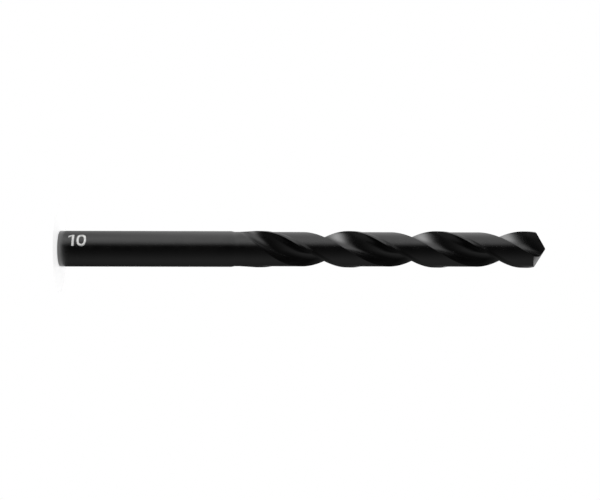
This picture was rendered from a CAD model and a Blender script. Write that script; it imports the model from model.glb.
import math

import bmesh
import bpy
import numpy as np
from mathutils import Matrix, Vector


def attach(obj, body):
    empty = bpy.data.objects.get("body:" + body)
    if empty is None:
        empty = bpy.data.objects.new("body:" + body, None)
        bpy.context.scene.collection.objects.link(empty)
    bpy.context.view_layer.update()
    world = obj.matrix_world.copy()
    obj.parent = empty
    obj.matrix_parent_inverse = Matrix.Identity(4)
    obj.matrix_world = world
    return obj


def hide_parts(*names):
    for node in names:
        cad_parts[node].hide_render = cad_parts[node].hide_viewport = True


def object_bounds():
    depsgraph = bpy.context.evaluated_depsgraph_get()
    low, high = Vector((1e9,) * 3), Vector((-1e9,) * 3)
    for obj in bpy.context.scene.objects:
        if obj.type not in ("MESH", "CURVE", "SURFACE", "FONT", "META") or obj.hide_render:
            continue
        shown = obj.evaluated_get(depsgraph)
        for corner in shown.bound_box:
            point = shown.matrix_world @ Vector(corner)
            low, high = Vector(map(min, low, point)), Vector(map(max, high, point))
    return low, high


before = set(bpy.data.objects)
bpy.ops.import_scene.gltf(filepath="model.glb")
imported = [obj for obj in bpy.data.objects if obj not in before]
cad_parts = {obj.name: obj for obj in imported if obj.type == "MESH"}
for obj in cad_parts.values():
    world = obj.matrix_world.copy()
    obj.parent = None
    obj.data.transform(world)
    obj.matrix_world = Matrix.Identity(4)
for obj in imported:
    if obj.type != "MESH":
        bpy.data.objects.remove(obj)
cad_low, cad_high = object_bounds()


# The twist drill is one round bar of high speed steel, with two spiral flutes cut into it, lands
# relieved behind a narrow margin at each leading edge, and a point ground on two cones.
# It is turned at the shank and steam tempered, which leaves a satin black oxide all over.
drill_length = cad_high[2] - cad_low[2]
point_radius = (cad_high[0] - cad_low[0]) / 2
shank_radius = 0.00492
clearance_radius = 0.00473
shank_length = 0.0470
shank_chamfer = 0.0002
neck_start = 0.0480
neck_end = 0.0493
margin_ramp_end = 0.0539
full_depth_start = 0.0627
helix_lead = 0.0479
half_web = 0.0007
half_web_growth = 0.000525
land_angle = math.radians(85.3)
margin_angle = math.radians(8.0)
margin_back_angle = math.radians(7.0)
trail_arc_radius = 0.00205
heel_round_radius = 0.0070
half_point_angle = math.radians(59.0)
cone_half_angle = math.radians(38.0)
cone_offset = 0.0059
cone_lead = 0.00195
turn_per_length = 2 * math.pi / helix_lead
lip_slope = 1 / math.tan(half_point_angle)
halvings = 45


def halve(low, high, value):
    """Roots of value between low and high, arrays of them at once, by halving the range."""
    rising = value(low) < 0
    for halving in range(halvings):
        middle = (low + high) / 2
        short = (value(middle) < 0) == rising
        low = np.where(short, middle, low)
        high = np.where(short, high, middle)
    return (low + high) / 2


def cone_height(x, y):
    """Height of a ground cone over its apex level, a root of the tilted cone's quadratic."""
    tilt = half_point_angle - cone_half_angle
    dx = x + cone_offset
    dy = y - cone_lead
    share = math.cos(cone_half_angle) ** 2
    a = math.cos(tilt) ** 2 - share
    b = -2 * dx * math.sin(tilt) * math.cos(tilt)
    c = (dx * math.sin(tilt)) ** 2 - share * (dx ** 2 + dy ** 2)
    root = np.sqrt(b ** 2 - 4 * a * c)
    upper = (-b + root) / (2 * a)
    lower = (-b - root) / (2 * a)
    return np.where(dx * math.sin(tilt) > upper * math.cos(tilt), upper, lower)


corner_reach = math.sqrt(point_radius ** 2 - half_web ** 2)
apex_z = drill_length - float(cone_height(0.0, 0.0))
corner_z = apex_z + float(cone_height(corner_reach, half_web))
lip_root_z = corner_z + corner_reach * lip_slope


def ground_height(x, y):
    """Height of the ground point over a place in plan: the lower of the two cones."""
    return apex_z + np.minimum(cone_height(x, y), cone_height(-x, -y))


def rake_side(reach):
    """Leading side of a flute: the straight lip, carried along the helix to one level."""
    turn = reach * lip_slope * turn_per_length
    x = reach * np.cos(turn) - half_web * np.sin(turn)
    y = reach * np.sin(turn) + half_web * np.cos(turn)
    return x, y


def trail_side(length, arc_turn):
    """Trailing side of a flute: a hollow arc off the web, then a convex one over to the heel."""
    along = np.minimum(length / trail_arc_radius, arc_turn)
    back = np.maximum(length - arc_turn * trail_arc_radius, 0) / heel_round_radius
    x = -trail_arc_radius * np.sin(along)
    y = half_web + trail_arc_radius * (1 - np.cos(along))
    x = x - heel_round_radius * (math.sin(arc_turn) - np.sin(arc_turn - back))
    y = y + heel_round_radius * (np.cos(arc_turn - back) - math.cos(arc_turn))
    return x, y


corner_x, corner_y = rake_side(corner_reach)
corner_angle = math.atan2(corner_y, corner_x)
heel_angle = corner_angle + math.pi - land_angle
middle_angle = (corner_angle + heel_angle) / 2
least_trail_turn = math.radians(30)
most_trail_turn = math.radians(125)


def heel_miss(arc_turn):
    """Angle by which the trailing side passes the heel when its hollow arc turns this much."""
    rim = halve(
        0.0, 2 * point_radius,
        lambda length: np.hypot(*trail_side(length, arc_turn)) - clearance_radius,
    )
    x, y = trail_side(rim, arc_turn)
    return math.atan2(y, x) - heel_angle


trail_turn = float(halve(least_trail_turn, most_trail_turn, heel_miss))
outline_tries = 801


def flute_side(s, lift, z):
    """Flute outline at s, which is below zero on the leading side and above it on the trailing
    side. Lift moves it out along the flute's middle, and the web grows towards the shank."""
    rake_x, rake_y = rake_side(-s)
    trail_x, trail_y = trail_side(s, trail_turn)
    x = np.where(s < 0, rake_x, trail_x)
    y = np.where(s < 0, rake_y, trail_y)
    inside = np.maximum(0, 1 - (x ** 2 + y ** 2) / clearance_radius ** 2)
    out = lift + half_web_growth * (drill_length - z) / (drill_length - neck_end) * inside
    return x + out * math.cos(middle_angle), y + out * math.sin(middle_angle)


def flute_depth(s, lift, z):
    """Distance of the flute outline from the axis."""
    return np.hypot(*flute_side(s, lift, z))


def deepest(lift, z):
    """Place on the flute outline nearest the axis, one for each lift and height."""
    tries = np.linspace(-point_radius, point_radius, outline_tries)
    depths = flute_depth(tries[:, None], np.atleast_1d(lift), np.atleast_1d(z))
    return tries[np.argmin(depths, axis=0)]


full_lift = float(halve(
    0.0, clearance_radius,
    lambda out: flute_depth(deepest(out, neck_end), out, neck_end) - clearance_radius,
)[0])
run_out_length = full_depth_start - neck_end
wheel_radius = (run_out_length ** 2 + full_lift ** 2) / (2 * full_lift)


def wheel_lift(z):
    """Height of the wheel over full depth: it leaves the bar on an arc."""
    below = np.maximum(0, full_depth_start - z)
    return wheel_radius - np.sqrt(wheel_radius ** 2 - below ** 2)


def margin_radius(z):
    """Radius of the margins: a ramp up from the relieved land above the neck, then the full size."""
    return np.interp(z, [neck_end, margin_ramp_end], [clearance_radius, point_radius])


def on_helix(x, y, z):
    """Section point carried along the helix to height z."""
    turn = (z - lip_root_z) * turn_per_length
    return x * np.cos(turn) - y * np.sin(turn), x * np.sin(turn) + y * np.cos(turn)


def chisel_step(s):
    """Difference of the two cones' heights at a place on the flute outline near the web."""
    x, y = on_helix(*flute_side(s, 0.0, drill_length), lip_root_z)
    return cone_height(x, y) - cone_height(-x, -y)


# The flute's two rims are found at many heights, a little past the point, and read off between.
flute_steps = 26
land_steps = 34
margin_steps = 6
half_columns = 2 * flute_steps + 1 + land_steps + margin_steps
chisel_reach = 0.002
table_rows = 500
table_overrun = 1.01
chisel_place = float(halve(-chisel_reach, chisel_reach, chisel_step))
table_share = np.linspace(0, table_overrun, table_rows) ** 2
table_z = neck_end + (drill_length - neck_end) * table_share
table_lift = wheel_lift(table_z)
table_low = deepest(table_lift, table_z)
table_front = halve(
    table_low, np.full(table_rows, -2 * point_radius),
    lambda s: flute_depth(s, table_lift, table_z) - margin_radius(table_z),
)
table_heel = halve(
    table_low, np.full(table_rows, 2 * point_radius),
    lambda s: flute_depth(s, table_lift, table_z) - clearance_radius,
)
table_front[0] = table_low[0]
table_heel[0] = table_low[0]
split = (chisel_place - table_front[-1]) / (table_heel[-1] - table_front[-1])
flute_share = np.concatenate([
    np.linspace(0, split, flute_steps + 1),
    np.linspace(split, 1, flute_steps + 1)[1:],
])


def half_outline(z):
    """Plan places of half the outline at heights z, one column for each place on it: the flute
    from its sharp edge to the heel, the relieved land, the slope and the margin up to the next
    sharp edge."""
    lift = wheel_lift(z)
    front = np.interp(z, table_z, table_front)
    heel = np.interp(z, table_z, table_heel)
    count = 2 * flute_steps + 1
    s = front[:, :count] + (heel - front)[:, :count] * flute_share
    flute_x, flute_y = flute_side(s, lift[:, :count], z[:, :count])
    front_x, front_y = flute_side(front[:, count:], lift[:, count:], z[:, count:])
    heel_x, heel_y = flute_side(heel[:, count:], lift[:, count:], z[:, count:])
    margin_front = np.arctan2(front_y, front_x) + math.pi
    margin_back = margin_front - margin_angle
    foot = margin_back - margin_back_angle
    start = np.arctan2(heel_y, heel_x)
    land_share = np.arange(1, land_steps + 1) / land_steps
    margin_share = np.arange(margin_steps) / margin_steps
    angle = np.empty_like(front_x)
    angle[:, :land_steps] = start[:, :land_steps] + (foot - start)[:, :land_steps] * land_share
    angle[:, land_steps:] = margin_back[:, land_steps:] + margin_angle * margin_share
    on_land = np.arange(angle.shape[1]) < land_steps
    radius = np.where(on_land, clearance_radius, margin_radius(z[:, count:]))
    x = np.concatenate([flute_x, radius * np.cos(angle)], axis=1)
    y = np.concatenate([flute_y, radius * np.sin(angle)], axis=1)
    return on_helix(x, y, z)


# Each column of the outline ends where its helix meets the ground point. The rings of points
# stand level up to half a radius below the corners, and from there they close up to those ends.
run_out_rings = 49
straight_rings = 194
point_rings = 13
point_overrun = 1.001
top = halve(
    np.full((1, half_columns), corner_z - point_radius),
    np.full((1, half_columns), point_overrun * drill_length),
    lambda z: z - ground_height(*half_outline(z)),
)
straight_start = corner_z - point_radius / 2
run_out_z = neck_end + (full_depth_start - neck_end) * np.linspace(0, 1, run_out_rings) ** 2
straight_z = np.linspace(full_depth_start, straight_start, straight_rings)[1:]
even_z = np.concatenate([run_out_z, straight_z])[:, None] + np.zeros((1, half_columns))
ending_z = straight_start + (top - straight_start) * np.linspace(0, 1, point_rings)[1:, None]
half_z = np.concatenate([even_z, ending_z])
half_x, half_y = half_outline(half_z)
body_x = np.concatenate([half_x, -half_x], axis=1)
body_y = np.concatenate([half_y, -half_y], axis=1)
body_z = np.concatenate([half_z, half_z], axis=1)

# The shank is turned: its profile, from the middle of the end face to the neck, goes round the
# axis, in the columns of the body's first ring.
column_angle = np.unwrap(np.arctan2(half_y[0], half_x[0]))
column_angle[:2 * flute_steps + 1] = column_angle[2 * flute_steps]
column_angle = np.concatenate([column_angle, column_angle + math.pi])
profile_radius = np.array([
    0, shank_radius - shank_chamfer, shank_radius, shank_radius, clearance_radius, clearance_radius,
])
profile_z = np.array([0, 0, shank_chamfer, shank_length, neck_start, neck_end])
wall_x = np.concatenate([profile_radius[:, None] * np.cos(column_angle), body_x])
wall_y = np.concatenate([profile_radius[:, None] * np.sin(column_angle), body_y])
wall_z = np.concatenate([profile_z[:, None] + np.zeros((1, 2 * half_columns)), body_z])


def between(first, second, inner, outer):
    """Surface between four edges: the straight blends of both pairs of opposite edges, added,
    less the blend of the corners."""
    u = np.linspace(0, 1, len(first))[:, None]
    v = np.linspace(0, 1, len(inner))[None, :]
    across = (1 - v) * first[:, None] + v * second[:, None]
    along = (1 - u) * inner[None, :] + u * outer[None, :]
    inner_corners = (1 - v) * inner[0] + v * inner[-1]
    outer_corners = (1 - v) * outer[0] + v * outer[-1]
    return across + along - ((1 - u) * inner_corners + u * outer_corners)


def flank(x, y):
    """Ground flank behind one lip: a patch from the chisel edge out to the margin and heel, laid
    on the cones."""
    lip = np.arange(flute_steps, -1, -1)
    back = np.arange(half_columns + flute_steps, half_columns + 2 * flute_steps + 1)
    rim = np.arange(2 * half_columns, half_columns + 2 * flute_steps - 1, -1) % (2 * half_columns)
    chisel = np.linspace(1, -1, len(rim))
    flank_x = between(x[lip], x[back], x[flute_steps] * chisel, x[rim])
    flank_y = between(y[lip], y[back], y[flute_steps] * chisel, y[rim])
    return flank_x, flank_y, ground_height(flank_x, flank_y)


def add_grid(mesh, x, y, z, closed):
    """Adds a grid of four-sided faces; a closed grid joins its last column to its first."""
    points = np.stack([x, y, z], axis=-1)
    corners = [[mesh.verts.new(point) for point in row] for row in points.tolist()]
    width = len(corners[0])
    for low, high in zip(corners, corners[1:]):
        for i in range(width if closed else width - 1):
            j = (i + 1) % width
            mesh.faces.new((low[i], low[j], high[j], high[i]))


sharp_angle = math.radians(32)


def finished(name, mesh, material):
    """Object of a finished bmesh, smooth but for its sharp edges, riding on the one body."""
    data = bpy.data.meshes.new(name)
    mesh.to_mesh(data)
    mesh.free()
    data.materials.append(material)
    data.shade_smooth()
    data.set_sharp_from_angle(angle=sharp_angle)
    piece = bpy.data.objects.new(name, data)
    bpy.context.scene.collection.objects.link(piece)
    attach(piece, "root")
    return piece


def cloud(tree, scale, detail, squeeze=1):
    """Noise over the object's own coordinates. A squeeze packs it closer along the drill, which
    draws it out into rings round the bar."""
    place = tree.nodes.new("ShaderNodeTexCoord")
    spread = tree.nodes.new("ShaderNodeMapping")
    spread.inputs["Scale"].default_value = (1, 1, squeeze)
    noise = tree.nodes.new("ShaderNodeTexNoise")
    noise.inputs["Scale"].default_value = scale
    noise.inputs["Detail"].default_value = detail
    tree.links.new(place.outputs["Object"], spread.inputs["Vector"])
    tree.links.new(spread.outputs["Vector"], noise.inputs["Vector"])
    return noise.outputs["Fac"]


def spanned(tree, noise, low, high):
    """The middle part of a noise, where most of it lies, spread from this low to this high."""
    span = tree.nodes.new("ShaderNodeMapRange")
    span.inputs["From Min"].default_value = 0.3
    span.inputs["From Max"].default_value = 0.7
    span.inputs["To Min"].default_value = low
    span.inputs["To Max"].default_value = high
    tree.links.new(noise, span.inputs["Value"])
    return span.outputs["Result"]


def mottled(material, dark, light, tint_grain, smooth, rough, roughness_grain):
    """Gives a material a tint between two colours and a roughness between two values, each by a
    noise of its own grain, and returns its node tree and surface node."""
    material.use_nodes = True
    tree = material.node_tree
    surface = tree.nodes["Principled BSDF"]
    tint = tree.nodes.new("ShaderNodeMix")
    tint.data_type = "RGBA"
    tint.inputs["A"].default_value = dark
    tint.inputs["B"].default_value = light
    tree.links.new(spanned(tree, cloud(tree, *tint_grain), 0, 1), tint.inputs["Factor"])
    tree.links.new(tint.outputs["Result"], surface.inputs["Base Color"])
    roughness = spanned(tree, cloud(tree, *roughness_grain), smooth, rough)
    tree.links.new(roughness, surface.inputs["Roughness"])
    return tree, surface


# Steam leaves an even black skin of oxide. It is a little cloudy, and faint grinding rings show.
black_oxide = bpy.data.materials.new("black_oxide")
oxide_tree, oxide_surface = mottled(
    black_oxide,
    dark=(0.0014, 0.0014, 0.0015, 1),
    light=(0.0030, 0.0029, 0.0028, 1),
    tint_grain=(260, 3),
    smooth=0.19,
    rough=0.26,
    roughness_grain=(420, 4),
)
oxide_surface.inputs["IOR"].default_value = 2.4
grinding = oxide_tree.nodes.new("ShaderNodeBump")
grinding.inputs["Strength"].default_value = 0.2
grinding.inputs["Distance"].default_value = 0.000004
rings = cloud(oxide_tree, scale=900, detail=2, squeeze=9)
oxide_tree.links.new(rings, grinding.inputs["Height"])
oxide_tree.links.new(grinding.outputs["Normal"], oxide_surface.inputs["Normal"])

merge_distance = 0.0000005
drill_mesh = bmesh.new()
add_grid(drill_mesh, wall_x, wall_y, wall_z, closed=True)
for side in (1, -1):
    flank_x, flank_y, flank_z = flank(side * body_x[-1], side * body_y[-1])
    add_grid(drill_mesh, flank_x, flank_y, flank_z, closed=False)
bmesh.ops.remove_doubles(drill_mesh, verts=drill_mesh.verts, dist=merge_distance)
bmesh.ops.recalc_face_normals(drill_mesh, faces=drill_mesh.faces)
drill = finished("drill_surface", drill_mesh, black_oxide)
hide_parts("twist_drill")


# The size mark is the drill's diameter in millimetres, two plain figures printed in white ink on
# the shank near its end. The ink is a film that stands about a hundredth of a millimetre high.
mark_height = 0.0036
mark_start = 0.0030
mark_turn = math.radians(223.0)
stroke = 0.00062
nought_width = 0.0026
one_flag = 0.0009
flag_slope = 0.55
flag_thickness = 0.9 * stroke
figure_gap = 0.0007
nought_roundness = 0.8
nought_points = 64
one_rows = 25
flag_columns = 7
ink_height = 0.000008
ink_depth = 0.00002


def bent(across, up):
    """Flat points bent round the shank: across becomes height over the shank's end, and up
    becomes a turn about the axis."""
    radius = shank_radius + ink_height
    turn = mark_turn - (up - mark_height / 2) / radius
    return radius * np.cos(turn), radius * np.sin(turn), mark_start + across


def nought(middle, turns):
    """Two stretched circles a stroke apart, squared a little by a power below one."""
    round_across = np.sign(np.cos(turns)) * np.abs(np.cos(turns)) ** nought_roundness
    round_up = np.sign(np.sin(turns)) * np.abs(np.sin(turns)) ** nought_roundness
    inset = np.array([0, stroke])[:, None]
    across = middle + (nought_width / 2 - inset) * round_across
    up = mark_height / 2 + (mark_height / 2 - inset) * round_up
    return across, up


white_ink = bpy.data.materials.new("white_ink")
mottled(
    white_ink,
    dark=(0.72, 0.72, 0.71, 1),
    light=(0.90, 0.90, 0.89, 1),
    tint_grain=(1500, 2),
    smooth=0.45,
    rough=0.6,
    roughness_grain=(2500, 2),
)

mark_mesh = bmesh.new()
stem_up = np.linspace(0, mark_height, one_rows)[:, None] + np.zeros((1, 2))
stem_across = one_flag + stroke * np.array([[0, 1]]) + 0 * stem_up
add_grid(mark_mesh, *bent(stem_across, stem_up), closed=False)
flag_across = np.linspace(0, one_flag, flag_columns)[None, :] + np.zeros((2, 1))
flag_top = mark_height - flag_slope * (one_flag - flag_across)
flag_up = flag_top + np.array([-flag_thickness, 0])[:, None]
add_grid(mark_mesh, *bent(flag_across, flag_up), closed=False)
turns = np.linspace(0, 2 * math.pi, nought_points, endpoint=False)[None, :]
nought_middle = one_flag + stroke + figure_gap + nought_width / 2
add_grid(mark_mesh, *bent(*nought(nought_middle, turns)), closed=True)
mark_mesh.normal_update()
for face in mark_mesh.faces:
    middle = face.calc_center_median()
    if face.normal.x * middle.x + face.normal.y * middle.y < 0:
        face.normal_flip()
mark = finished("size_mark", mark_mesh, white_ink)
film = mark.modifiers.new("film", "SOLIDIFY")
film.thickness = ink_depth
film.offset = -1


# The floor is a small white disc of painted board, which the shank end stands on. Camera, glossy
# and transmission rays see it glow near the backdrop's white, and it keeps the drill's shadow.
floor_radius = 0.012
floor_segments = 96
floor_glow = 0.72
floor_mesh = bmesh.new()
bmesh.ops.create_circle(floor_mesh, cap_ends=True, segments=floor_segments, radius=floor_radius)
floor_data = bpy.data.meshes.new("floor")
floor_mesh.to_mesh(floor_data)
floor = bpy.data.objects.new("floor", floor_data)
bpy.context.scene.collection.objects.link(floor)
floor_paint = bpy.data.materials.new("floor_paint")
floor_paint.use_nodes = True
tree = floor_paint.node_tree
paint = tree.nodes["Principled BSDF"]
paint.inputs["Base Color"].default_value = (0.9, 0.9, 0.9, 1)
paint.inputs["Emission Color"].default_value = (1, 1, 1, 1)
rays = tree.nodes.new("ShaderNodeLightPath")
seen = rays.outputs["Is Camera Ray"]
for kind in ("Is Glossy Ray", "Is Transmission Ray"):
    either = tree.nodes.new("ShaderNodeMath")
    either.operation = "MAXIMUM"
    tree.links.new(seen, either.inputs[0])
    tree.links.new(rays.outputs[kind], either.inputs[1])
    seen = either.outputs["Value"]
shown = tree.nodes.new("ShaderNodeMath")
shown.operation = "MULTIPLY"
shown.inputs[1].default_value = floor_glow
tree.links.new(seen, shown.inputs[0])
tree.links.new(shown.outputs["Value"], paint.inputs["Emission Strength"])
floor_data.materials.append(floor_paint)


# The camera looks level at the standing drill and is rolled, so that the axis runs across the
# picture with the shank on the left.
up_angle = math.radians(162.3)
roll = math.radians(-0.12)
camera_distance = 0.422
focal_pixels = 1540
picture_width_pixels = 600
sensor_width = 36
aim_height = 0.06585
axis_rise_pixels = 0.85
up_way = Vector((math.cos(up_angle), math.sin(up_angle), 0))
right_way = Vector((0, 0, 1))
right_way, up_way = (
    math.cos(roll) * right_way - math.sin(roll) * up_way,
    math.cos(roll) * up_way + math.sin(roll) * right_way,
)
back_way = right_way.cross(up_way)
camera_data = bpy.data.cameras.new("camera")
camera_data.sensor_width = sensor_width
camera_data.lens = focal_pixels * sensor_width / picture_width_pixels
camera_data.clip_start = 0.01
camera = bpy.data.objects.new("camera", camera_data)
bpy.context.scene.collection.objects.link(camera)
aim = Vector((0, 0, aim_height)) - up_way * axis_rise_pixels * camera_distance / focal_pixels
camera.matrix_world = Matrix((
    (right_way.x, up_way.x, back_way.x, aim.x + back_way.x * camera_distance),
    (right_way.y, up_way.y, back_way.y, aim.y + back_way.y * camera_distance),
    (right_way.z, up_way.z, back_way.z, aim.z + back_way.z * camera_distance),
    (0, 0, 0, 1),
))
bpy.context.scene.camera = camera


# The light is a dark room with one pale wall over and behind the drill and five soft round lamps.
# A white backdrop stands behind the drill. Camera rays see its white everywhere, and reflections
# see it only where it stands, with the room around it.
world = bpy.data.worlds.new("studio")
bpy.context.scene.world = world
world.use_nodes = True
tree = world.node_tree
tree.nodes.clear()
direction = tree.nodes.new("ShaderNodeTexCoord")


def toward(side, lift):
    """Cosine between a ray of the world and the way at this angle from picture up towards the
    camera, lifted by this angle towards the point of the drill, both in degrees."""
    side, lift = math.radians(side), math.radians(lift)
    level = math.cos(side) * up_way + math.sin(side) * back_way
    cosine = tree.nodes.new("ShaderNodeVectorMath")
    cosine.operation = "DOT_PRODUCT"
    cosine.inputs[1].default_value = math.cos(lift) * level + math.sin(lift) * right_way
    tree.links.new(direction.outputs["Generated"], cosine.inputs[0])
    return cosine.outputs["Value"]


def worked(kind, first, *others):
    """The result of one Math node on a value and on values or plain numbers."""
    node = tree.nodes.new("ShaderNodeMath")
    node.operation = kind
    tree.links.new(first, node.inputs[0])
    for socket, other in zip(list(node.inputs)[1:], others):
        if isinstance(other, (int, float)):
            socket.default_value = other
        else:
            tree.links.new(other, socket)
    return node.outputs["Value"]


def lamp(side, lift, tightness, strength):
    """Soft round lamp: its strength times e to the power tightness times (cosine - 1)."""
    fall = worked("EXPONENT", worked("MULTIPLY_ADD", toward(side, lift), tightness, -tightness))
    return worked("MULTIPLY", fall, strength)


def edge(cosine, dark, bright):
    """Smooth step from nothing where the cosine is at dark to one where it is at bright."""
    step = tree.nodes.new("ShaderNodeMapRange")
    step.interpolation_type = "SMOOTHSTEP"
    step.inputs["From Min"].default_value = dark
    step.inputs["From Max"].default_value = bright
    tree.links.new(cosine, step.inputs["Value"])
    return step.outputs["Result"]


wall_strength = 0.43
wall_front = edge(toward(side=-15, lift=0), dark=0.03, bright=0.61)
wall_point_end = edge(toward(side=0, lift=90), dark=0.395, bright=0.085)
wall_shank_end = edge(toward(side=0, lift=90), dark=-0.49, bright=0.11)
studio = worked(
    "MULTIPLY",
    worked("MULTIPLY", wall_front, wall_strength),
    worked("MULTIPLY", wall_point_end, wall_shank_end),
)
for soft_lamp in (
    lamp(side=22, lift=-36, tightness=19.0, strength=1.9),
    lamp(side=38, lift=-58, tightness=31.0, strength=1.4),
    lamp(side=-45, lift=30, tightness=6.0, strength=0.50),
    lamp(side=175, lift=5, tightness=2.2, strength=0.083),
    lamp(side=250, lift=42, tightness=12.0, strength=0.75),
):
    studio = worked("ADD", studio, soft_lamp)
rays = tree.nodes.new("ShaderNodeLightPath")
behind = edge(toward(side=-90, lift=0), dark=0.94, bright=0.97)
mirrored = worked("MAXIMUM", rays.outputs["Is Glossy Ray"], rays.outputs["Is Transmission Ray"])
mirrored_white = worked("MULTIPLY", behind, mirrored)
white_seen = worked("MAXIMUM", rays.outputs["Is Camera Ray"], mirrored_white)
studio = worked("MAXIMUM", studio, behind)
walls = tree.nodes.new("ShaderNodeBackground")
walls.inputs["Color"].default_value = (1, 1, 1, 1)
tree.links.new(studio, walls.inputs["Strength"])
backdrop = tree.nodes.new("ShaderNodeBackground")
backdrop.inputs["Color"].default_value = (1, 1, 1, 1)
pick = tree.nodes.new("ShaderNodeMixShader")
output = tree.nodes.new("ShaderNodeOutputWorld")
tree.links.new(white_seen, pick.inputs["Fac"])
tree.links.new(walls.outputs["Background"], pick.inputs[1])
tree.links.new(backdrop.outputs["Background"], pick.inputs[2])
tree.links.new(pick.outputs["Shader"], output.inputs["Surface"])

# A broad lamp over the camera fills matt colours up to their own level. It is kept out of
# reflections, where the black steel shows the room alone.
fill_light = bpy.data.lights.new("fill", "SUN")
fill_light.energy = 2.2
fill_light.angle = math.radians(60)
fill = bpy.data.objects.new("fill", fill_light)
fill.visible_glossy = False
bpy.context.scene.collection.objects.link(fill)
fill_way = up_way + back_way
fill.matrix_world = fill_way.to_track_quat("Z", "Y").to_matrix().to_4x4()

bpy.context.scene.view_settings.view_transform = "Standard"
